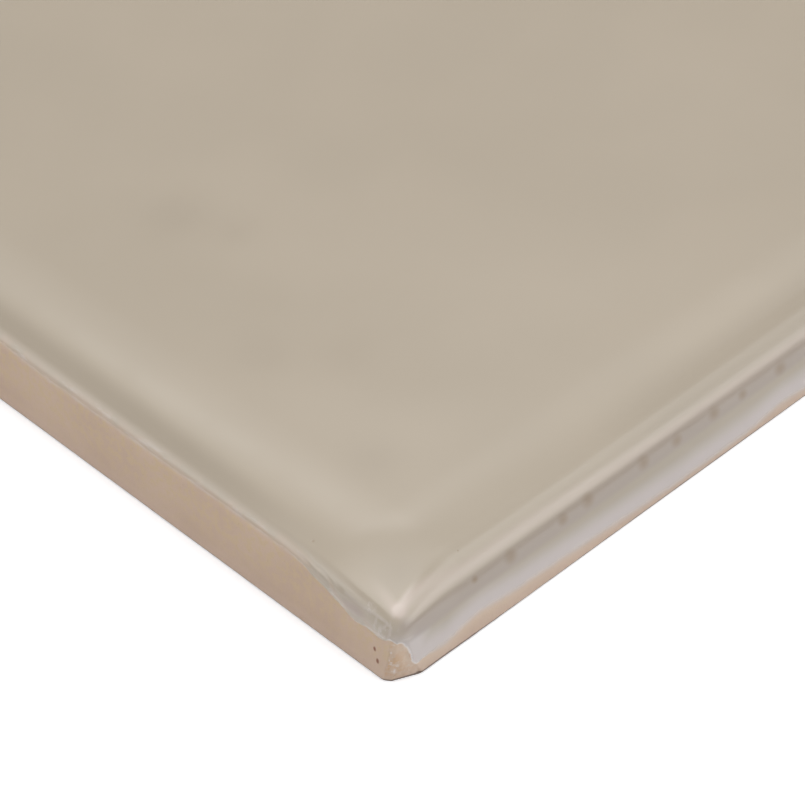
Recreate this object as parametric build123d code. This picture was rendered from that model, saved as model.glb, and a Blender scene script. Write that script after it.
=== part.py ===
"""A glazed ceramic wall tile with a hand-made look, lying on its back.

The tile is one fired piece: a pressed body whose face is flat in the middle with a slight waviness,
and falls away in a soft cushion near all four edges. The two long sides are flat and keep a small
arris. The two short ends are rounded over by the glaze that ran across them. One corner is knocked off.
The back has shallow square pockets between ribs, which key the tile into its adhesive.

Millimetres. +Z is up, out of the glazed face. X runs along the short ends and Y along the long sides.
The origin is the middle of the back, on the plane of the ribs.
"""

from build123d import *
import math
import os

# Overall size
tile_width = 100.0
tile_length = 300.0
tile_thickness = 8.0

# Cushion of the face: how far in it starts and how far it has dropped at the edge
cushion_width = 9.0
cushion_drop = 0.9

# Waves of the face's field: crest height, the two wavelengths, and the calm band along its border
wave_height = 0.06
wave_length_x = 31.0
wave_length_y = 43.0
wave_margin = 10.0

# Edges
side_arris_radius = 1.4
end_round_radius = 3.7
back_chamfer = 0.3

# Knocked-off corner: setbacks along the side and the end at the back, the ridge between
# its two facets, and the height at which the facets run out
chip_side_setback = 1.75
chip_end_setback = 2.9
chip_ridge_from_end = 1.1
chip_ridge_from_side = 0.45
chip_height = 4.9
chip_top_inset = 0.43

# Back pockets
pocket_size = 25.0
rib_width = 3.0
back_rim = 9.0
pocket_depth = 0.8
pocket_corner_radius = 2.0
pocket_draft = 25.0

# Spacing of the points that the field's surface is drawn through, and how near it passes to them
field_point_step = 3.0
field_tolerance = 0.004

# The cushion is an arc that leaves the field level and meets each edge at its drop
cushion_radius = (cushion_width**2 + cushion_drop**2) / (2 * cushion_drop)
field_width = tile_width - 2 * cushion_width
field_length = tile_length - 2 * cushion_width


def cushioned_block():
    """The plan, cut off above by a level field whose border rolls over by the cushion's arc."""
    plan = Box(tile_width, tile_length, 2 * tile_thickness, align=(Align.CENTER, Align.CENTER, Align.MIN))
    spread = 2 * cushion_radius
    outline = RectangleRounded(field_width + spread, field_length + spread, cushion_radius)
    pillow = Pos(0, 0, tile_thickness - spread) * extrude(outline, amount=spread)
    rim = pillow.faces().sort_by(Axis.Z)[-1].edges()
    return (plan & fillet(rim, cushion_radius)).solids()[0]


def rounded_over(block):
    """The ends rounded from the face down, then the small arris round each side."""
    for outermost in (0, -1):
        wall = block.faces().sort_by(Axis.Y)[outermost]
        top_edges = wall.edges().filter_by(Axis.Z, reverse=True).filter_by(above_back)
        block = fillet(top_edges, end_round_radius)
    for outermost in (0, -1):
        wall = block.faces().sort_by(Axis.X)[outermost]
        block = fillet(wall.edges().filter_by(above_back), side_arris_radius)
    return block


def above_back(edge):
    """True of an edge that doesn't lie in the back."""
    return edge.center().Z > back_chamfer


def chamfered(block):
    """A small chamfer where the sides and ends meet the back."""
    back = block.faces().sort_by(Axis.Z)[0]
    return chamfer(back.edges(), back_chamfer)


def chipped(block):
    """One corner knocked off by two leaning facets that meet in a ridge."""
    corner = Vector(-tile_width / 2, -tile_length / 2, 0)
    along_side = corner + Vector(0, chip_side_setback, 0)
    ridge = corner + Vector(chip_ridge_from_side, chip_ridge_from_end, 0)
    along_end = corner + Vector(chip_end_setback, 0, 0)
    top = corner + Vector(chip_top_inset, chip_top_inset, chip_height)
    for start, end in ((along_side, ridge), (ridge, along_end)):
        outward = (end - start).cross(top - start).normalized()
        if outward.dot(corner - ridge) < 0:
            outward = -outward
        facet = Plane(origin=start, x_dir=(end - start).normalized(), z_dir=outward)
        block = split(block, bisect_by=facet, keep=Keep.BOTTOM)
    return block


def calm(inset):
    """0 at the field's border and 1 beyond the calm band, with a smooth step between."""
    share = min(1.0, max(0.0, inset / wave_margin))
    return share * share * (3 - 2 * share)


def field_height(x, y):
    """Height of the field: two crossed trains of low waves, neither in line with the edges."""
    first = math.sin(2 * math.pi * (x / wave_length_x + y / (2 * wave_length_y)))
    second = math.sin(2 * math.pi * (y / wave_length_y - x / (3 * wave_length_x)))
    stillness = calm(field_width / 2 - abs(x)) * calm(field_length / 2 - abs(y))
    return tile_thickness + wave_height * stillness * (first + second) / 2


def spaced(length):
    """Places from end to end of a length centred on 0, about a point step apart."""
    steps = math.ceil(length / field_point_step)
    return [(i / steps - 0.5) * length for i in range(steps + 1)]


def waved(block):
    """The field's level top changed for one spline surface, which is level along its border."""
    points = [[Vector(x, y, field_height(x, y)) for y in spaced(field_length)] for x in spaced(field_width)]
    surface = Face.make_surface_from_array_of_points(points, tol=field_tolerance, min_deg=3, max_deg=5)
    upper_half = Pos(0, 0, tile_thickness / 2) * Box(
        field_width, field_length, tile_thickness, align=(Align.CENTER, Align.CENTER, Align.MIN)
    )
    under_waves = extrude(surface, amount=2 * tile_thickness, dir=(0, 0, -1))
    return (block - upper_half + (upper_half & under_waves)).solids()[0]


def back_pocket():
    """One square pocket of the back, whose walls lean so that it lets go of the die."""
    outline = RectangleRounded(pocket_size, pocket_size, pocket_corner_radius)
    return extrude(outline, amount=pocket_depth, taper=pocket_draft)


def pocketed(block):
    """The back's pockets, as many as fit between the rims, spaced by the ribs."""
    pitch = pocket_size + rib_width
    columns = int((tile_width - 2 * back_rim + rib_width) // pitch)
    rows = int((tile_length - 2 * back_rim + rib_width) // pitch)
    pocket = back_pocket()
    return block - [place * pocket for place in GridLocations(pitch, pitch, columns, rows)]


tile = pocketed(waved(chipped(chamfered(rounded_over(cushioned_block())))))

os.makedirs("parts", exist_ok=True)
export_step(tile, "parts/tile.step")
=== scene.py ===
"""A glazed ceramic wall tile that lies on a pale studio floor, seen close over its chipped corner.

The tile is one piece with one closed mesh. Its form is the plain tile, worked out as a distance, and
what the kiln and handling did to it: the glaze coat with its lip, the run of glaze beside the
chipped corner, the chip itself and the bare fired clay of the long sides and the back.
"""
import math
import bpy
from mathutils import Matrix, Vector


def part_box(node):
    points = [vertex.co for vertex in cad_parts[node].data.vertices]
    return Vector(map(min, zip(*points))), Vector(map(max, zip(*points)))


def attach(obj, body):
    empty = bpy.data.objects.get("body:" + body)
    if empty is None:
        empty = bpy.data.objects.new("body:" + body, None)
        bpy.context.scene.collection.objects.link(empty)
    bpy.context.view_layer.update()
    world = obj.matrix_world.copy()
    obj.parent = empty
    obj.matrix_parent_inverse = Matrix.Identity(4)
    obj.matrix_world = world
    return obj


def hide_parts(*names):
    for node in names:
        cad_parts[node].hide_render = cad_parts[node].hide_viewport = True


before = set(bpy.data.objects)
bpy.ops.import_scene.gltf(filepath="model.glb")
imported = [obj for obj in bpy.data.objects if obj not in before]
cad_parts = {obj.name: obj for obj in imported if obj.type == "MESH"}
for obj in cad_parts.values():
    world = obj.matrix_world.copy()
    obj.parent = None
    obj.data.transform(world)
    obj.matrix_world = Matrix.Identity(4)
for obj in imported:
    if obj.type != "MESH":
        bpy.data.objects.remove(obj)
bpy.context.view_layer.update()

from types import SimpleNamespace

import bmesh
import bpy
import numpy as np
from mathutils import Matrix, Vector

MM = 0.001
low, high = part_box("tile")

# Sizes of the plain tile, in millimetres. The ends' rounding tightens to the corners' within a reach
WIDTH = (high[0] - low[0]) / MM
LENGTH = (high[1] - low[1]) / MM
THICKNESS = 8.0
CUSHION_WIDTH = 9.0
CUSHION_DROP = 0.9
SIDE_ARRIS = 1.4
END_ROUND = 3.7
CORNER_ROUND = 2.0
CORNER_REACH = (1.0, 8.0)
BACK_CHAMFER = 0.12
WAVE_HEIGHT = 0.06
WAVE_X = 31.0
WAVE_Y = 43.0
WAVE_MARGIN = 10.0
POCKET = 25.0
RIB = 3.0
BACK_RIM = 9.0
POCKET_DEPTH = 0.8
POCKET_CORNER = 2.0
POCKET_DRAFT = 25.0
CUSHION_RADIUS = (CUSHION_WIDTH**2 + CUSHION_DROP**2) / (2 * CUSHION_DROP)
FIELD_X = WIDTH / 2 - CUSHION_WIDTH
FIELD_Y = LENGTH / 2 - CUSHION_WIDTH

# The chip: its setbacks along the side and the end, its ridge and its top from the corner, the
# softness of its edges, how fast its facets run out above the top, and how far they swell
CHIP_SIDE = 1.75
CHIP_END = 2.9
CHIP_RIDGE = (0.45, 1.1)
CHIP_TOP = (0.43, 0.43, 4.9)
CHIP_SOFTNESS = 0.04
CHIP_RUNOUT = 0.8
CHIP_SWELL = 0.17

# The mesh: its spacing, finest at the photographed corner, how far from that corner the chip matters,
# the height of the blank it starts from, and how deep the core lies that its points are drawn toward
FINE_STEP = 0.13
FINE_REACH = 7.0
FAR_STEP = 0.3
FAR_REACH = 3.0
STEP_GROWTH = 0.07
CHIP_REACH = 5.0
COARSE_X = 1.5
COARSE_Y = 2.2
WALL_STEP = 0.165
BLANK_TOP = 8.5
CORE_INSET = 4.0

# Glaze coat: how far the clay dips below it along its lower edge, and its lip
COAT = 0.05
DIP_WIDTH = 1.6
LIP_RISE = 0.4
LIP_WIDTH = 1.2
LIP_HEIGHT = 0.01

# Fine relief: the clay's grain, the torn surface of the chip, the glaze's orange peel, its veins,
# and the folds of its run beside the corner with their spacing
GRAIN = 0.012
TEAR = 0.05
FINE_TEAR = 0.02
PEEL = 0.004
VEIN_HEIGHT = 0.008
FOLD = 0.03
FOLD_SPACING = 0.75

# How far to both sides of a point the nearest place of the glaze's edge is looked for, and in what
# steps, and the distance below that edge that the pockets of the back count as
EDGE_REACH = 2.4
EDGE_STEP = 0.06
POCKETS_BELOW = 5.0

# Lower edge of the glaze round the photographed corner: distance along the tile's edge from the
# corner, along the long side when below 0 and along the short end when above, and height
CORNER_EDGE = [
    (-45, 6.3), (-30, 6.4), (-20, 6.5), (-12, 6.5), (-10.5, 6.35), (-7.4, 5.4), (-5.7, 4.7), (-4.6, 4.35),
    (-2.8, 4.5), (-2.0, 4.4), (-1.1, 4.65), (-0.8, 4.9), (0.2, 4.8), (0.7, 4.5), (1.1, 3.9), (1.4, 3.1),
    (1.6, 2.1), (1.95, 1.5), (3.3, 1.5), (5.5, 1.3), (6.8, 1.7), (9.0, 2.15), (12.4, 1.7), (18.0, 1.4),
    (25.0, 0.95), (32.0, 0.6), (47.0, 0.6),
]

# The same edge elsewhere: its height and swing on the sides and on the ends, how far from a corner it
# goes from one to the other, and how it wavers at the photographed corner
SIDE_EDGE = 6.4
SIDE_SWING = 0.28
END_EDGE = 0.9
END_SWING = 0.5
CORNER_SPAN = 3.0
CORNER_WAVER = 0.07

# Marks: place and radius. Pinholes along the rounded end and on the face, specks in the clay of the
# side, a pink streak beside the chip, and white flecks
PINHOLES = [
    (x - WIDTH / 2, y - LENGTH / 2, z, r) for x, y, z, r in (
        (9.0, 0.55, 5.45, 0.5), (12.9, 0.45, 5.25, 1.0), (18.8, 0.45, 5.25, 0.85), (21.7, 0.48, 5.3, 1.0),
        (28.1, 0.45, 5.2, 1.0), (32.0, 0.4, 5.1, 0.9), (36.5, 0.4, 5.15, 1.0), (39.9, 0.37, 5.05, 0.8),
        (44.5, 0.35, 5.0, 1.05), (1.7, 10.96, 7.4, 0.2), (9.0, 2.4, 7.3, 0.12),
    )
]
SPECKS = [(-WIDTH / 2, 2.46 - LENGTH / 2, 2.9, 0.2), (-WIDTH / 2, 2.14 - LENGTH / 2, 1.8, 0.22)]
STREAKS = [(1.6 - WIDTH / 2, 0.05 - LENGTH / 2, 2.8, 0.2)]
FLECKS = [
    (0.18 - WIDTH / 2, 0.84 - LENGTH / 2, 3.53, 0.12), (0.6 - WIDTH / 2, 0.85 - LENGTH / 2, 1.2, 0.24),
]

# Pale veins in the run of glaze beside the corner: places from the corner
VEINS = [
    [(0.26, 5.9, 6.4), (0.24, 4.8, 6.3), (0.27, 3.75, 6.25), (0.35, 2.75, 6.25), (0.4, 1.8, 6.15)],
    [(0.4, 2.5, 6.25), (0.16, 2.45, 5.85), (0.02, 2.5, 5.3)],
    [(0.4, 2.3, 6.2), (0.44, 1.64, 6.15), (0.46, 1.1, 5.85), (0.16, 1.03, 5.25), (0.08, 1.3, 4.4)],
]

# Painted shade in spots of the face, as darker glaze, small near the corner and wide and faint farther
# off: place from the corner, radius and share
SHADE_SPOTS = [
    (20.2, 47.0, 2.6, 0.3), (22.5, 42.0, 2.0, 0.2), (13.4, 28.8, 3.0, 0.25), (18.0, 24.0, 2.4, 0.15),
    (11.1, 13.7, 2.4, 0.25), (3.8, 3.7, 1.9, 0.45), (62.0, 130.0, 13.0, 0.12), (35.0, 190.0, 15.0, 0.12),
    (75.0, 240.0, 12.0, 0.12),
]

# Painted shade, as darker lilac glaze, below the corner's painted highlight: place and radius
PAINTED_SHADES = [(1.5 - WIDTH / 2, 0.5 - LENGTH / 2, 5.9, 0.9)]

# The dull patch in the run of glaze beside the corner, and the pale ones next to it
PATCH = [(0.05 - WIDTH / 2, 4.8 - LENGTH / 2, 5.6, 1.7)]
PALE = [
    (0.05 - WIDTH / 2, 1.9 - LENGTH / 2, 4.95, 1.0), (0.3 - WIDTH / 2, 3.4 - LENGTH / 2, 6.5, 0.8),
    (0.4 - WIDTH / 2, 1.2 - LENGTH / 2, 5.6, 0.9),
]

# Painted highlight over the corner, as paler glaze: its middle, and the two arms that run out from it,
# each with its share, its reach and its line
HIGHLIGHT_TIP = (1.5, 1.32, 6.6)
ARM_WIDTH = 0.8
HIGHLIGHT_ARMS = [
    (0.5, 4.5, [(1.5, 1.5, 6.65), (1.55, 2.1, 6.85), (1.8, 3.1, 7.04), (2.1, 5.0, 7.3)]),
    (0.75, 9.0, [(1.6, 1.4, 6.65), (2.6, 1.65, 6.9), (3.4, 1.8, 7.04), (4.6, 1.8, 7.06), (8.0, 1.7, 7.06)]),
]

# Colours, linear
GLAZE = (0.438, 0.377, 0.300, 1.0)
GLAZE_CLOUD = (0.452, 0.388, 0.309, 1.0)
# Darker glaze, for painted shade beside the crests and in spots
GLAZE_POOL_SHADE = (0.330, 0.281, 0.220, 1.0)
# Paler glaze, for a painted highlight over the crests and the corner
GLAZE_HIGHLIGHT = (0.61, 0.51, 0.455, 1.0)
# Darker lilac glaze, for painted shade on the ends and below the corner
GLAZE_PAINTED_SHADE = (0.385, 0.325, 0.290, 1.0)
GLAZE_DULL = (0.43, 0.345, 0.300, 1.0)
GLAZE_MILK = (0.58, 0.52, 0.50, 1.0)
GLAZE_RIM = (0.60, 0.54, 0.50, 1.0)
PINHOLE = (0.300, 0.222, 0.148, 1.0)
CLAY_DARK = (0.57, 0.422, 0.330, 1.0)
CLAY_LIGHT = (0.61, 0.460, 0.362, 1.0)
CLAY_YELLOW = (0.605, 0.462, 0.300, 1.0)
CLAY_GRAIN = (0.44, 0.30, 0.22, 1.0)
CLAY_FRESH = (0.66, 0.505, 0.385, 1.0)
CLAY_STAIN = (0.63, 0.41, 0.245, 1.0)
CLAY_DUSTED = (0.73, 0.59, 0.47, 1.0)
CLAY_FOOT = (0.68, 0.525, 0.425, 1.0)
SPECK = (0.28, 0.13, 0.085, 1.0)
STREAK = (0.66, 0.41, 0.28, 1.0)
FLECK = (0.78, 0.73, 0.71, 1.0)
# Painted shadow along the foot
ARRIS_PAINTED_SHADOW = (0.13, 0.10, 0.08, 1.0)

# Camera, from the photo's outlines: its focal length in pixels of the photo's frame, its pitch, the
# angle between its view and the short end, and the corner's pixel and scale
FRAME_PIXELS = 805
SENSOR = 36.0
FOCAL_PIXELS = 4000.0
PITCH = math.radians(42.5)
HEADING = math.radians(45.22)
CORNER_PIXEL = (397.1, 691.6)
PIXELS_PER_MM = 13.0

# The studio: the floor's half size, colour and glow, the light from all round, and the soft boxes, each
# with its azimuth from the camera's heading, elevation, width, height and soft border in degrees, and
# its strength
FLOOR_REACH = 4.0
FLOOR_COLOUR = (0.86, 0.86, 0.87, 1.0)
GLOW_COLOUR = (0.97, 0.98, 1.0, 1.0)
GLOW = 0.4
AMBIENT = 0.21
SOFT_BOXES = [
    (45, 90, 50, 50, 16, 2.4),
    (60, 78, 22, 22, 10, 1.7),
    (-2, 46.3, 36, 7.5, 4, 0.65),
    (-7, 49.8, 14, 4, 3, 1.8),
    (-95, 24, 30, 24, 10, 2.2),
    (-86, 42, 24, 14, 10, 1.0),
    (92, 38, 34, 26, 12, 1.5),
    (99, 20, 22, 16, 9, 2.3),
    (50, 56, 70, 16, 8, 0.3),
    (104, 58, 30, 16, 8, 1.4),
]


def ripple(u, wavelength, seed):
    """A smooth uneven line of values from -1 to 1 along u."""
    random = np.random.default_rng(seed)
    waves = [np.sin(2 * np.pi * (u / (wavelength * s) + random.random())) for s in (0.6, 1.0, 1.7, 2.9)]
    return sum(waves) / len(waves)


def mottle(x, y, wavelength, seed):
    """A smooth uneven field of values, mostly from -1 to 1."""
    random = np.random.default_rng(seed)
    total = np.zeros_like(x)
    for _ in range(7):
        turn = random.random() * 2 * np.pi
        along = x * np.cos(turn) + y * np.sin(turn)
        length = wavelength * (0.7 + 0.8 * random.random())
        total += np.sin(2 * np.pi * (along / length + random.random()))
    return total / 4


def smooth(low_end, high_end, value):
    """0 below the low end, 1 above the high end, with a smooth step between."""
    share = np.clip((value - low_end) / (high_end - low_end), 0, 1)
    return share * share * (3 - 2 * share)


def rounded_meet(a, b, radius):
    """Distance outside both of two surfaces whose meeting edge is rounded over."""
    arc = np.hypot(np.maximum(a + radius, 0), np.maximum(b + radius, 0)) - radius
    return np.where((a > -radius) & (b > -radius), arc, np.maximum(a, b))


def waves(x, y):
    """The face's two crossed trains of low waves, still along the field's border."""
    calm = smooth(0, WAVE_MARGIN, FIELD_X - np.abs(x)) * smooth(0, WAVE_MARGIN, FIELD_Y - np.abs(y))
    first = np.sin(2 * np.pi * (x / WAVE_X + y / (2 * WAVE_Y)))
    second = np.sin(2 * np.pi * (y / WAVE_Y - x / (3 * WAVE_X)))
    return WAVE_HEIGHT * calm * (first + second) / 2


def chip_facets():
    """The chip's two leaning facets, each as a point and an outward normal."""
    corner = np.array([-WIDTH / 2, -LENGTH / 2, 0.0])
    start = corner + (0, CHIP_SIDE, 0)
    ridge = corner + (*CHIP_RIDGE, 0)
    end = corner + (CHIP_END, 0, 0)
    top = corner + CHIP_TOP
    facets = []
    for a, b in ((start, ridge), (ridge, end)):
        normal = np.cross(b - a, top - a)
        normal /= np.linalg.norm(normal)
        facets.append((a, normal if normal @ (corner - ridge) > 0 else -normal))
    return facets


FACETS = chip_facets()


def facet_distances(p):
    """Distance of points outside each of the chip's facets, which run out above its top."""
    above = CHIP_RUNOUT * np.maximum(0, p[:, 2] - CHIP_TOP[2])
    share = np.clip(p[:, 2] / CHIP_TOP[2], 0, 1)
    swelling = 4 * CHIP_SWELL * share * (1 - share)
    return [(p - point) @ normal - above - swelling for point, normal in FACETS]


def outside(p):
    """Distance of points outside the plain tile, below 0 for points in it."""
    x, y, z = p[:, 0], p[:, 1], p[:, 2]
    beyond_x = np.maximum(np.abs(x) - FIELD_X, 0)
    beyond_y = np.maximum(np.abs(y) - FIELD_Y, 0)
    above = np.maximum(z - (THICKNESS - CUSHION_RADIUS), 0)
    face = np.sqrt(beyond_x**2 + beyond_y**2 + above**2) - CUSHION_RADIUS - waves(x, y)
    side = np.abs(x) - WIDTH / 2
    end = np.abs(y) - LENGTH / 2
    end_round = CORNER_ROUND + (END_ROUND - CORNER_ROUND) * smooth(*CORNER_REACH, -side)
    distance = rounded_meet(rounded_meet(face, end, end_round), side, SIDE_ARRIS)
    chamfer = (np.maximum(side, end) - z + BACK_CHAMFER) / math.sqrt(2)
    distance = np.maximum(distance, chamfer)
    for facet in facet_distances(p):
        distance = rounded_meet(distance, facet, CHIP_SOFTNESS)
    return distance


def onto_tile(start, core):
    """Where the straight ways from points outside the tile to points in it cross its surface."""
    near, far = np.zeros(len(start)), np.ones(len(start))
    for _ in range(26):
        middle = (near + far) / 2
        out = outside(start + (core - start) * middle[:, None]) > 0
        near, far = np.where(out, middle, near), np.where(out, far, middle)
    return start + (core - start) * far[:, None]


def outward(p):
    """The surface's outward direction at points on it."""
    reach = 0.02
    steps = np.eye(3) * reach
    slope = np.stack([outside(p + step) - outside(p - step) for step in steps], 1)
    return slope / np.linalg.norm(slope, axis=1, keepdims=True)


def spaced(length, coarse):
    """Places from end to end of a length centred on 0, finest at its low end."""
    places = [0.0]
    while places[-1] < length:
        here = places[-1]
        near = FINE_STEP + STEP_GROWTH * max(0.0, here - FINE_REACH)
        far = FAR_STEP + STEP_GROWTH * max(0.0, length - here - FAR_REACH)
        places.append(here + min(near, far, coarse))
    places = np.array(places)
    return places * length / places[-1] - length / 2


def glaze_edge_height(p):
    """Height of the glaze's lower edge round the tile, and the distance along it from the corner."""
    from_side = WIDTH / 2 - np.abs(p[:, 0])
    from_end = LENGTH / 2 - np.abs(p[:, 1])
    along = from_side - from_end
    side_sign, end_sign = np.sign(p[:, 0]), np.sign(p[:, 1])
    side = SIDE_EDGE + SIDE_SWING * ripple(p[:, 1] + 170 * side_sign, 17, 3)
    end = END_EDGE + END_SWING * ripple(p[:, 0] + 90 * end_sign, 11, 5)
    plain = side + (end - side) * smooth(-CORNER_SPAN, CORNER_SPAN / 2, along)
    places, heights = zip(*CORNER_EDGE)
    measured = np.interp(along, places, heights) + CORNER_WAVER * ripple(along, 1.3, 7)
    here = (side_sign < 0) & (end_sign < 0)
    share = np.where(here, smooth(0, 9, along - places[0]) * smooth(0, 9, places[-1] - along), 0)
    return plain + (measured - plain) * share, along


def above_glaze_edge(p):
    """Distance of points on the surface above the glaze's lower edge, below 0 on bare clay."""
    height, _ = glaze_edge_height(p)
    away = np.abs(p[:, 2] - height)
    across = np.where(np.abs(p[:, :1]) > WIDTH / 2 - SIDE_ARRIS, [[0, 1, 0]], [[1, 0, 0]])
    for reach in np.arange(-EDGE_REACH, EDGE_REACH, EDGE_STEP):
        beside, _ = glaze_edge_height(p + reach * across)
        away = np.minimum(away, np.hypot(reach, p[:, 2] - beside))
    inset = np.maximum(0, np.minimum(WIDTH / 2 - np.abs(p[:, 0]), LENGTH / 2 - np.abs(p[:, 1])))
    return np.where(p[:, 2] > height, away, -away) + 0.8 * inset


def from_chip(p):
    """Distance of points on the surface from the edge of the chip, below 0 on its facets."""
    corner = np.hypot(p[:, 0] + WIDTH / 2, p[:, 1] + LENGTH / 2)
    facet = np.min(np.abs(facet_distances(p)), axis=0)
    broken = (corner < CHIP_END + 0.2) & (facet < 0.02) & (p[:, 2] < CHIP_TOP[2] + 0.4)
    near = np.where(corner < CHIP_REACH)[0]
    distance = np.full(len(p), CHIP_REACH)
    inside, beyond = near[broken[near]], near[~broken[near]]
    between = np.linalg.norm(p[inside][:, None] - p[beyond][None], axis=2)
    distance[beyond] = between.min(0) - FINE_STEP / 2
    distance[inside] = FINE_STEP / 2 - between.min(1)
    return distance


def pooled_shade(p):
    """Painted shade, as darker glaze: in the band beside the crests of the sides and ends, and in the
    spots.
    """
    from_side, from_end = WIDTH / 2 - np.abs(p[:, 0]), LENGTH / 2 - np.abs(p[:, 1])
    pool = 0.75 * smooth(0.6, 1.4, from_side) * (1 - smooth(1.7, 3.6, from_side)) * smooth(5, 26, from_end)
    pool += 0.38 * smooth(0.7, 1.2, from_end) * (1 - smooth(3.5, 6.0, from_end)) * smooth(20, 42, from_side)
    for x, y, radius, share in SHADE_SPOTS:
        away = np.hypot(p[:, 0] + WIDTH / 2 - x, p[:, 1] + LENGTH / 2 - y)
        pool = pool + share * np.exp(-((away / radius) ** 2)) * (p[:, 2] > THICKNESS / 2)
    return pool


def painted_highlight(p):
    """Painted highlight, as paler glaze: over the crest of the ends, and over the chipped corner."""
    from_side, from_end = WIDTH / 2 - np.abs(p[:, 0]), LENGTH / 2 - np.abs(p[:, 1])
    z = p[:, 2] + 0.4 * smooth(12, 35, from_side)
    crest = smooth(5.75, 6.3, z) * (1 - smooth(6.5, 7.0, z)) * (from_end < 2.5) * smooth(1, 4, from_side)
    from_tip = np.linalg.norm(p - (HIGHLIGHT_TIP - np.array([WIDTH / 2, LENGTH / 2, 0])), axis=1)
    thin = 0.45 * crest + 0.35 * (1 - smooth(0.1, 1.2, from_tip))
    for share, reach, line in HIGHLIGHT_ARMS:
        on_arm = 1 - smooth(0.0, ARM_WIDTH, from_line(p, line))
        thin = thin + share * on_arm * (1 - smooth(0.5, reach, from_tip))
    return np.clip(thin, 0, 1)


def from_line(p, line):
    """Distance of points from a line through places that are measured from the photographed corner."""
    line = np.array(line) - (WIDTH / 2, LENGTH / 2, 0)
    nearest = np.full(len(p), np.inf)
    for a, b in zip(line, line[1:]):
        share = np.clip((p - a) @ (b - a) / ((b - a) @ (b - a)), 0, 1)
        nearest = np.minimum(nearest, np.linalg.norm(p - a - share[:, None] * (b - a), axis=1))
    return nearest


def veined(p):
    """1 along the middle of the pale veins in the glaze's run, and 0 beside them."""
    return 1 - smooth(0.02, 0.16, np.min([from_line(p, vein) for vein in VEINS], axis=0))


def relief(p, glaze, chip):
    """How far the surface stands above the plain tile."""
    broken = 1 - smooth(-0.15, 0.0, chip)
    lip = smooth(0, LIP_RISE, glaze) * (COAT + LIP_HEIGHT * (1 - smooth(LIP_RISE, LIP_WIDTH, glaze)))
    dip = -COAT * (1 - smooth(LIP_RISE, DIP_WIDTH, -glaze)) * (1 - broken)
    grain = GRAIN * mottle(p[:, 0] + p[:, 2], p[:, 1] + p[:, 2] * 2, 1.1, 21) - GRAIN
    torn = broken * (TEAR * mottle(p[:, 0] * 2, p[:, 2] + p[:, 1], 1.3, 23) - TEAR)
    torn = torn + broken * FINE_TEAR * mottle(p[:, 0] * 2 + p[:, 1], p[:, 2], 0.5, 24)
    peel = PEEL * (mottle(p[:, 0], p[:, 1] + p[:, 2], 9.0, 31) - 1.8)
    _, along = glaze_edge_height(p)
    run = smooth(-14, -7, along) * (1 - smooth(-1.5, 0.5, along)) * (1 - smooth(0.8, 2.2, glaze))
    run = run * (p[:, 0] < 0) * (p[:, 1] < 0)
    folds = FOLD * run * np.sin(2 * np.pi * (glaze / FOLD_SPACING + 0.6 * ripple(along, 4.0, 41)))
    on_clay = dip + np.minimum(grain + torn, 0)
    on_glaze = lip - COAT + folds + peel * smooth(0, 2, glaze)
    return np.where(glaze < 0, on_clay, on_glaze)


def shell():
    """Vertices and faces of the face and the walls, down to the rim of the back, and the rim's length.

    The last row of vertices lies in the back itself and the one above it on the chamfer.
    """
    xs, ys = spaced(WIDTH, COARSE_X), spaced(LENGTH, COARSE_Y)
    rows = math.ceil(BLANK_TOP / WALL_STEP)
    heights = [BLANK_TOP * (1 - i / rows) for i in range(1, rows)]
    heights = [h for h in heights if h > BACK_CHAMFER + 0.05] + [BACK_CHAMFER, 0.0]
    columns, lines = len(xs), len(ys)
    top = np.array([(x, y, BLANK_TOP) for x in xs for y in ys])
    number = np.arange(columns * lines).reshape(columns, lines)
    ring = [*number[:, 0], *number[-1, 1:], *number[-2::-1, -1], *number[0, -2:0:-1]]
    faces = [
        (number[i, j], number[i + 1, j], number[i + 1, j + 1], number[i, j + 1])
        for i in range(columns - 1) for j in range(lines - 1)
    ]
    outline = top[ring]
    start = [top]
    above = ring
    count = len(top)
    for height in [*heights, 0.0]:
        row = outline.copy()
        row[:, 2] = height
        start.append(row)
        below = list(range(count, count + len(ring)))
        for k in range(len(ring)):
            after = (k + 1) % len(ring)
            faces.append((above[k], below[k], below[after], above[after]))
        above, count = below, count + len(ring)
    start = np.vstack(start)
    core = start.copy()
    core[:, 0] = np.clip(core[:, 0], -WIDTH / 2 + CORE_INSET, WIDTH / 2 - CORE_INSET)
    core[:, 1] = np.clip(core[:, 1], -LENGTH / 2 + CORE_INSET, LENGTH / 2 - CORE_INSET)
    core[:, 2] = THICKNESS / 2
    core[-len(ring):, 2] = 0.0
    return onto_tile(start, core), faces, len(ring)


def pocket_outline(inset, segments=5):
    """A rounded square round 0, drawn in from the pocket's mouth."""
    half = POCKET / 2 - inset
    radius = POCKET_CORNER
    points = []
    for turn in range(4):
        for k in range(segments + 1):
            angle = math.pi / 2 * (turn + k / segments)
            centre = [(1, 1), (-1, 1), (-1, -1), (1, -1)][turn]
            points.append(((half - radius) * centre[0] + radius * math.cos(angle),
                           (half - radius) * centre[1] + radius * math.sin(angle)))
    return points


def pockets(count):
    """Vertices and faces of the back's pockets, numbered from a count on."""
    pitch = POCKET + RIB
    columns = int((WIDTH - 2 * BACK_RIM + RIB) // pitch)
    rows = int((LENGTH - 2 * BACK_RIM + RIB) // pitch)
    mouth = pocket_outline(0)
    floor = pocket_outline(POCKET_DEPTH * math.tan(math.radians(POCKET_DRAFT)))
    vertices, faces = [], []
    for i in range(columns):
        for j in range(rows):
            x, y = (i - (columns - 1) / 2) * pitch, (j - (rows - 1) / 2) * pitch
            first = count + len(vertices)
            vertices += [(x + u, y + v, 0.0) for u, v in mouth]
            vertices += [(x + u, y + v, POCKET_DEPTH) for u, v in floor]
            n = len(mouth)
            for k in range(n):
                after = (k + 1) % n
                faces.append((first + k, first + n + k, first + n + after, first + after))
            faces.append(tuple(first + n + k for k in range(n)))
    return vertices, faces


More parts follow.
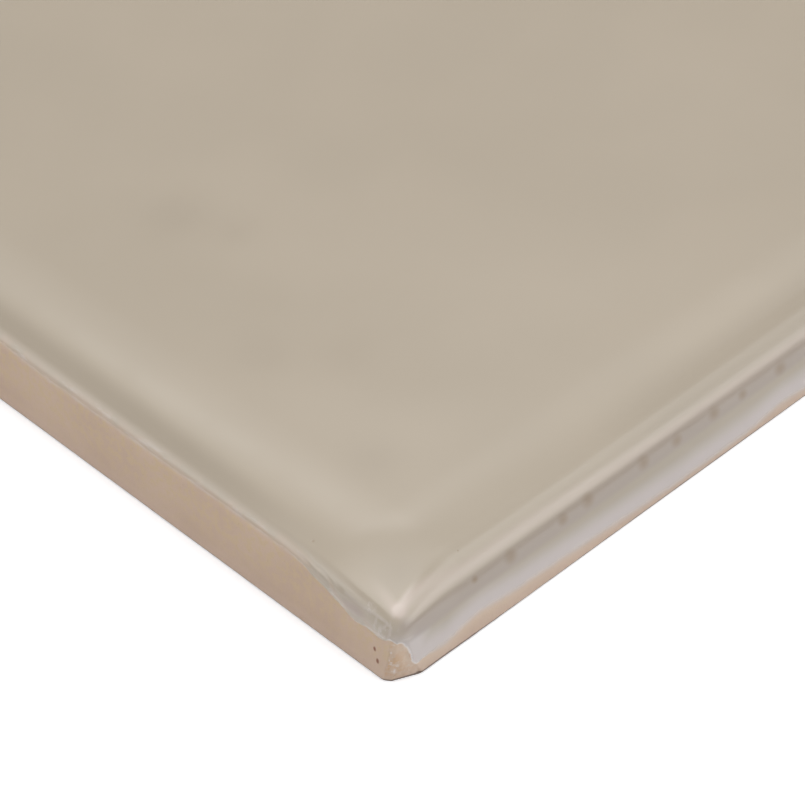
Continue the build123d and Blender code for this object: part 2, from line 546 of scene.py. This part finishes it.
def close_back(mesh):
    """Fills the level part of the back, between its rim and the pockets' mouths."""
    work = bmesh.new()
    work.from_mesh(mesh)
    open_edges = [edge for edge in work.edges if len(edge.link_faces) == 1]
    bmesh.ops.triangle_fill(work, edges=open_edges, use_beauty=True, normal=(0, 0, -1))
    bmesh.ops.recalc_face_normals(work, faces=work.faces)
    work.to_mesh(mesh)
    work.free()


def tile_mesh():
    """The whole tile as one closed mesh, with what its finish needs to know at each vertex."""
    points, faces, rim = shell()
    glaze, chip, vein = above_glaze_edge(points), from_chip(points), veined(points)
    known = [
        # Two of these values carry painted light: darker glaze for painted shade, paler glaze for a painted
        # highlight
        ("glaze", glaze, -POCKETS_BELOW), ("chip", chip, CHIP_REACH), ("pool", pooled_shade(points), 0.0),
        ("thin", painted_highlight(points), 0.0), ("vein", vein, 0.0),
    ]
    height = relief(points, glaze, chip) + VEIN_HEIGHT * vein
    height[-2 * rim:] = 0
    points = points + outward(points) * height[:, None]
    points = np.clip(points, np.array(low) / MM, np.array(high) / MM)
    more, more_faces = pockets(len(points))
    mesh = bpy.data.meshes.new("glazed_tile")
    mesh.from_pydata([tuple(p * MM) for p in [*points, *np.array(more)]], [], faces + more_faces)
    for name, values, in_pockets in known:
        layer = mesh.attributes.new(name, "FLOAT", "POINT")
        values = np.append(values, np.full(len(more), in_pockets))
        layer.data.foreach_set("value", values.astype(np.float32))
    close_back(mesh)
    mesh.shade_smooth()
    mesh.set_sharp_from_angle(angle=math.radians(38))
    return mesh


class Nodes:
    """Short calls for building a node tree."""

    def __init__(self, tree):
        self.tree = tree
        tree.nodes.clear()

    def add(self, kind, values=None, **settings):
        node = self.tree.nodes.new(kind)
        for key, value in settings.items():
            setattr(node, key, value)
        for key, value in (values or {}).items():
            self.put(node.inputs[key], value)
        return node

    def put(self, socket, value):
        if isinstance(value, bpy.types.NodeSocket):
            self.tree.links.new(value, socket)
        else:
            socket.default_value = value

    def math(self, operation, a, b=0.0, c=0.0):
        return self.add("ShaderNodeMath", {0: a, 1: b, 2: c}, operation=operation).outputs[0]

    def times(self, a, b):
        return self.math("MULTIPLY", a, b)

    def vector(self, operation, a, b, output="Vector"):
        return self.add("ShaderNodeVectorMath", {0: a, 1: b}, operation=operation).outputs[output]

    def ramp(self, value, low_end, high_end, low_value=0.0, high_value=1.0):
        values = {
            "Value": value, "From Min": low_end, "From Max": high_end,
            "To Min": low_value, "To Max": high_value,
        }
        return self.add("ShaderNodeMapRange", values, interpolation_type="SMOOTHSTEP").outputs["Result"]

    def mix(self, share, a, b, kind="RGBA"):
        node = self.add("ShaderNodeMix", data_type=kind)
        self.put(node.inputs["Factor"], share)
        self.put(node.inputs["A"], a)
        self.put(node.inputs["B"], b)
        return node.outputs["Result"]

    def noise(self, place, scale, detail=3.0, roughness=0.5):
        values = {"Vector": place, "Scale": scale, "Detail": detail, "Roughness": roughness}
        return self.add("ShaderNodeTexNoise", values).outputs["Fac"]


def spots(n, place, marks, stretch=1.0, core=0.35):
    """1 in the core of each mark and 0 outside it. A mark is its place and radius in millimetres."""
    squashed = n.vector("MULTIPLY", place, (1.0, 1.0, 1.0 / stretch))
    nearest = 1.0
    for x, y, z, radius in marks:
        away = n.vector("DISTANCE", squashed, (x * MM, y * MM, z * MM / stretch), "Value")
        nearest = n.math("MINIMUM", nearest, n.math("DIVIDE", away, radius * MM))
    return n.ramp(nearest, core, 1.0, 1.0, 0.0)


def roughened(n, value, noise, amount):
    """A value with an uneven border: it goes up and down with a noise."""
    return n.math("MULTIPLY_ADD", n.math("SUBTRACT", noise, 0.5), amount, value)


def surface(n):
    """What the tile's colours depend on: the place, what the mesh knows there, and where the glaze is."""
    s = SimpleNamespace(place=n.add("ShaderNodeTexCoord").outputs["Object"])
    s.x, s.y, s.z = n.add("ShaderNodeSeparateXYZ", {0: s.place}).outputs
    # Two of these values carry painted light: darker glaze for painted shade, paler glaze for a painted
    # highlight
    s.edge, s.chip, s.pool, s.thin, s.vein = (
        n.add("ShaderNodeAttribute", attribute_name=name).outputs["Fac"]
        for name in ("glaze", "chip", "pool", "thin", "vein")
    )
    s.patchy = n.noise(s.place, 700.0, 3.0)
    s.grain = n.noise(s.place, 4200.0, 3.0, 0.7)
    s.clay_cloud = n.noise(s.place, 160.0, 4.0, 0.55)
    s.pinholes = spots(n, s.place, PINHOLES, 0.8, 0.0)
    s.on_end = n.ramp(n.math("ABSOLUTE", s.y), (LENGTH / 2 - 1.6) * MM, (LENGTH / 2 - 0.1) * MM)
    s.off_end = n.math("SUBTRACT", 1.0, s.on_end)
    s.soft_side = n.ramp(s.y, (9 - LENGTH / 2) * MM, (13 - LENGTH / 2) * MM, 0.0, 0.4)
    s.broken = n.ramp(roughened(n, s.chip, n.noise(s.place, 2600.0, 3.0), 0.2), -0.06, 0.0, 1.0, 0.0)
    frayed = roughened(n, s.edge, n.noise(s.place, 1800.0, 4.0), 0.3)
    faded = n.math("MAXIMUM", n.times(s.on_end, n.ramp(s.chip, 0.3, 2.5)), s.soft_side)
    low_end = n.math("MULTIPLY_ADD", faded, -0.5, -0.06)
    high_end = n.math("MULTIPLY_ADD", faded, 0.6, 0.16)
    s.glazed = n.ramp(frayed, low_end, high_end)
    return s


def glaze_body(n, s):
    """The glaze: cloudy, darker in painted shade, paler in a painted highlight, and milky low on the ends.
    """
    colour = n.mix(n.ramp(n.noise(s.place, 48.0, 2.0), 0.35, 0.65), GLAZE, GLAZE_CLOUD)
    # Painted shade: darker glaze beside the crests and in spots
    colour = n.mix(n.times(s.pool, 0.75), colour, GLAZE_POOL_SHADE)
    # Painted highlight: paler glaze over the crests and the corner
    colour = n.mix(n.times(s.thin, 0.7), colour, GLAZE_HIGHLIGHT)
    milk = n.times(n.ramp(s.edge, 0.9, 3.2, 1.0, 0.0), n.ramp(s.on_end, 0.0, 1.0, 0.12, 0.9))
    milk = n.times(milk, n.ramp(s.z, 4.2 * MM, 5.6 * MM, 1.0, 0.25))
    return n.mix(milk, colour, GLAZE_MILK)


def glaze_edge(n, s, colour):
    """The glaze toward its lower edge: clay that shows through, painted shade on the ends, wisps and a pale
    rim.
    """
    bare = n.times(n.ramp(s.edge, 0.0, 0.8, 1.4, 0.0), s.soft_side)
    colour = n.mix(n.times(bare, s.off_end), colour, CLAY_LIGHT)
    run = n.times(n.ramp(s.edge, 0.6, 1.6, 0.3, 0.0), s.off_end)
    colour = n.mix(n.times(run, n.ramp(s.patchy, 0.35, 0.65)), colour, CLAY_DARK)
    # Painted shade: darker lilac glaze in a band on the ends, fainter near the chipped corner
    valley_shade = n.times(n.ramp(s.z, 4.1 * MM, 4.8 * MM), n.ramp(s.z, 5.6 * MM, 6.2 * MM, 1.0, 0.0))
    valley_shade = n.times(valley_shade, n.ramp(s.x, (0.4 - WIDTH / 2) * MM, (2.6 - WIDTH / 2) * MM, 0.1, 0.7))
    colour = n.mix(n.times(valley_shade, s.on_end), colour, GLAZE_PAINTED_SHADE)
    drawn_out = n.vector("MULTIPLY", s.place, (260.0, 260.0, 1500.0))
    wisp = n.ramp(n.noise(drawn_out, 1.0, 5.0, 0.65), 0.52, 0.66)
    colour = n.mix(n.times(wisp, n.ramp(s.edge, 0.2, 1.4, 0.55, 0.0)), colour, GLAZE_RIM)
    rim = n.times(n.ramp(s.edge, 0.02, 0.28, 1.0, 0.0), n.ramp(s.patchy, 0.4, 0.6, 0.0, 0.7))
    colour = n.mix(rim, colour, GLAZE_RIM)
    chip_rim = n.times(n.ramp(s.edge, 0.08, 0.26, 1.0, 0.0), n.ramp(s.chip, 0.1, 0.5, 1.0, 0.0))
    return n.mix(n.times(chip_rim, n.ramp(s.patchy, 0.3, 0.5, 0.35, 1.0)), colour, FLECK)


def glaze_marks(n, s, colour):
    """The veins, painted shade and patches round the corner, and the pinholes and flecks."""
    colour = n.mix(n.times(s.vein, 0.45), colour, GLAZE_RIM)
    # Painted shade below the corner's painted highlight
    colour = n.mix(n.times(spots(n, s.place, PAINTED_SHADES, core=0.1), 0.5), colour, GLAZE_PAINTED_SHADE)
    colour = n.mix(n.times(spots(n, s.place, PATCH, 0.42, 0.3), 0.75), colour, GLAZE_DULL)
    flecked = n.ramp(n.noise(s.place, 2400.0, 4.0, 0.6), 0.48, 0.62, 0.1, 1.0)
    pale = n.times(spots(n, s.place, PALE, core=0.2), 0.7)
    colour = n.mix(n.times(pale, flecked), colour, GLAZE_RIM)
    colour = n.mix(n.times(s.pinholes, 0.65), colour, PINHOLE)
    return n.mix(spots(n, s.place, FLECKS), colour, FLECK)


def clay_body(n, s):
    """The fired clay: cloudy and grainy, yellower higher up and paler at the foot."""
    colour = n.mix(n.ramp(s.clay_cloud, 0.35, 0.65), CLAY_DARK, CLAY_LIGHT)
    yellow = n.ramp(n.noise(s.place, 1300.0, 4.0, 0.6), 0.42, 0.6, 0.1, 0.8)
    colour = n.mix(n.times(yellow, n.ramp(s.z, 1.0 * MM, 4.0 * MM, 0.35, 1.0)), colour, CLAY_YELLOW)
    colour = n.mix(n.ramp(s.grain, 0.58, 0.75, 0.0, 0.35), colour, CLAY_GRAIN)
    fresh = n.mix(n.ramp(n.noise(s.place, 1500.0, 4.0, 0.65), 0.40, 0.60), CLAY_FRESH, CLAY_STAIN)
    fresh = n.mix(n.ramp(n.noise(s.place, 2100.0, 3.0, 0.6), 0.56, 0.68, 0.0, 0.6), fresh, FLECK)
    colour = n.mix(n.times(s.broken, 0.9), colour, fresh)
    colour = n.mix(n.times(s.on_end, n.ramp(s.edge, -1.6, 0.0, 0.1, 0.75)), colour, CLAY_DUSTED)
    return n.mix(n.ramp(s.z, 0.2 * MM, 1.8 * MM, 0.6, 0.0), colour, CLAY_FOOT)


def clay_marks(n, s, colour):
    """The specks, the streak and the white flecks in the clay."""
    colour = n.mix(spots(n, s.place, SPECKS, 1.7), colour, SPECK)
    colour = n.mix(spots(n, s.place, STREAKS, 3.0), colour, STREAK)
    ragged = n.ramp(n.noise(s.place, 3600.0, 2.0), 0.35, 0.6, 0.3, 1.0)
    return n.mix(n.times(spots(n, s.place, FLECKS, 2.2, 0.0), ragged), colour, FLECK)


def foot_painted_shadow(n, s, colour):
    """A painted shadow: the dark line round the foot, wider on the end beside the chip."""
    shadow_level = n.math("MULTIPLY_ADD", n.noise(s.place, 900.0, 3.0), -0.1 * MM, s.z)
    shadow_widening = n.ramp(s.x, (7 - WIDTH / 2) * MM, (16 - WIDTH / 2) * MM, 0.12 * MM, 0.0)
    shadow_level = n.math("SUBTRACT", shadow_level, n.times(shadow_widening, s.on_end))
    return n.mix(n.ramp(shadow_level, 0.04 * MM, 0.16 * MM, 0.8, 0.0), colour, ARRIS_PAINTED_SHADOW)


def tile_bump(n, s):
    """The faint unevenness of the glaze, its pinholes and the grain of the clay."""
    grain = n.times(n.math("ADD", s.grain, s.clay_cloud), n.math("SUBTRACT", 1.0, s.glazed))
    height = n.math("MULTIPLY_ADD", n.noise(s.place, 420.0, 2.0), n.times(s.glazed, 0.05), grain)
    height = n.math("MULTIPLY_ADD", s.pinholes, -0.6, height)
    bump = n.add("ShaderNodeBump", {"Strength": 0.5, "Distance": 0.06 * MM, "Height": height})
    return bump.outputs["Normal"]


def tile_material():
    """Glaze above its lower edge and fired clay below it, in one shader."""
    material = bpy.data.materials.new("glaze_and_clay")
    material.use_nodes = True
    n = Nodes(material.node_tree)
    s = surface(n)
    glaze = glaze_marks(n, s, glaze_edge(n, s, glaze_body(n, s)))
    clay = clay_marks(n, s, clay_body(n, s))
    gloss = n.ramp(n.noise(s.place, 300.0, 3.0), 0.3, 0.7, 0.12, 0.16)
    shader = n.add("ShaderNodeBsdfPrincipled", {
        "Base Color": foot_painted_shadow(n, s, n.mix(s.glazed, clay, glaze)),
        "Roughness": n.mix(s.glazed, 0.85, gloss, "FLOAT"),
        "Normal": tile_bump(n, s),
        "IOR": 1.5,
    })
    output = n.add("ShaderNodeOutputMaterial")
    n.put(output.inputs["Surface"], shader.outputs[0])
    return material


def floor():
    """A pale floor that reads as the photo's white, and keeps the tile's shadow."""
    corners = [(x * FLOOR_REACH, y * FLOOR_REACH, 0) for x, y in ((-1, -1), (1, -1), (1, 1), (-1, 1))]
    mesh = bpy.data.meshes.new("floor")
    mesh.from_pydata(corners, [], [(0, 1, 2, 3)])
    piece = bpy.data.objects.new("floor", mesh)
    bpy.context.collection.objects.link(piece)
    material = bpy.data.materials.new("studio_floor")
    material.use_nodes = True
    n = Nodes(material.node_tree)
    path = n.add("ShaderNodeLightPath").outputs
    mirrored = n.math("MAXIMUM", path["Is Glossy Ray"], path["Is Transmission Ray"])
    seen = n.times(n.math("MAXIMUM", path["Is Camera Ray"], mirrored), GLOW)
    glow = n.add("ShaderNodeEmission", {"Color": GLOW_COLOUR, "Strength": seen})
    matt = n.add("ShaderNodeBsdfDiffuse", {"Color": FLOOR_COLOUR})
    both = n.add("ShaderNodeAddShader")
    n.put(both.inputs[0], matt.outputs[0])
    n.put(both.inputs[1], glow.outputs[0])
    output = n.add("ShaderNodeOutputMaterial")
    n.put(output.inputs["Surface"], both.outputs[0])
    mesh.materials.append(material)


def heading():
    """The camera's forward, right and up directions."""
    ahead = Vector((math.cos(HEADING), math.sin(HEADING), 0))
    right = Vector((ahead.y, -ahead.x, 0))
    forward = ahead * math.cos(PITCH) - Vector((0, 0, math.sin(PITCH)))
    return forward, right, right.cross(forward)


def camera():
    """The photo's view: the tile's corner stands at its pixel, at the photo's scale."""
    forward, right, up = heading()
    across = (CORNER_PIXEL[0] - FRAME_PIXELS / 2) / FOCAL_PIXELS
    down = (CORNER_PIXEL[1] - FRAME_PIXELS / 2) / FOCAL_PIXELS
    corner = Vector((-WIDTH / 2, -LENGTH / 2, 0)) * MM
    depth = FOCAL_PIXELS / PIXELS_PER_MM * MM
    place = corner - depth * (forward + across * right - down * up)
    data = bpy.data.cameras.new("camera")
    data.sensor_width = SENSOR
    data.lens = FOCAL_PIXELS / FRAME_PIXELS * SENSOR
    data.clip_start = 0.01
    data.clip_end = 50.0
    eye = bpy.data.objects.new("camera", data)
    eye.matrix_world = Matrix.Translation(place) @ Matrix((right, up, -forward)).transposed().to_4x4()
    bpy.context.collection.objects.link(eye)
    bpy.context.scene.camera = eye


def toward(azimuth, elevation):
    """The direction at an azimuth right of the camera's heading and an elevation, in degrees."""
    _, right, _ = heading()
    ahead = Vector((-right.y, right.x, 0))
    a, e = math.radians(azimuth), math.radians(elevation)
    return (ahead * math.cos(a) + right * math.sin(a)) * math.cos(e) + Vector((0, 0, math.sin(e)))


def soft_box(n, view, azimuth, elevation, width, height, softness, strength):
    """A far soft light: its middle, its width and height and its soft border, all in degrees."""
    middle = toward(azimuth, elevation)
    across = toward(azimuth + 90, 0)
    upright = across.cross(middle)
    ahead = n.math("MAXIMUM", n.vector("DOT_PRODUCT", view, middle, "Value"), 0.001)
    light = strength
    for direction, size in ((across, width), (upright, height)):
        sideways = n.vector("DOT_PRODUCT", view, direction, "Value")
        offset = n.math("ABSOLUTE", n.math("DIVIDE", sideways, ahead))
        inner = math.tan(math.radians(max(0.1, (size - softness) / 2)))
        outer = math.tan(math.radians(max(0.1, (size + softness) / 2)))
        light = n.times(light, n.ramp(offset, inner, outer, 1.0, 0.0))
    return light


def studio():
    """Even light from all round, with soft boxes overhead, ahead and at both sides.

    The camera sees plain white instead: its rays get a strength of at least and at most 1.
    """
    world = bpy.data.worlds.new("studio")
    world.use_nodes = True
    bpy.context.scene.world = world
    n = Nodes(world.node_tree)
    view = n.add("ShaderNodeTexCoord").outputs["Generated"]
    light = AMBIENT
    for box in SOFT_BOXES:
        light = n.math("ADD", light, soft_box(n, view, *box))
    path = n.add("ShaderNodeLightPath").outputs
    shown = n.math("MAXIMUM", light, path["Is Camera Ray"])
    most = n.math("MULTIPLY_ADD", path["Is Camera Ray"], -99.0, 100.0)
    strength = n.math("MINIMUM", shown, most)
    background = n.add("ShaderNodeBackground", {"Color": (1.0, 1.0, 1.0, 1.0), "Strength": strength})
    output = n.add("ShaderNodeOutputWorld")
    n.put(output.inputs["Surface"], background.outputs[0])


def tile():
    """The tile, as one piece."""
    mesh = tile_mesh()
    mesh.materials.append(tile_material())
    piece = bpy.data.objects.new("glazed_tile", mesh)
    bpy.context.collection.objects.link(piece)
    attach(piece, "root")
    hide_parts("tile")


camera()
tile()
floor()
studio()
bpy.context.scene.view_settings.view_transform = "Standard"
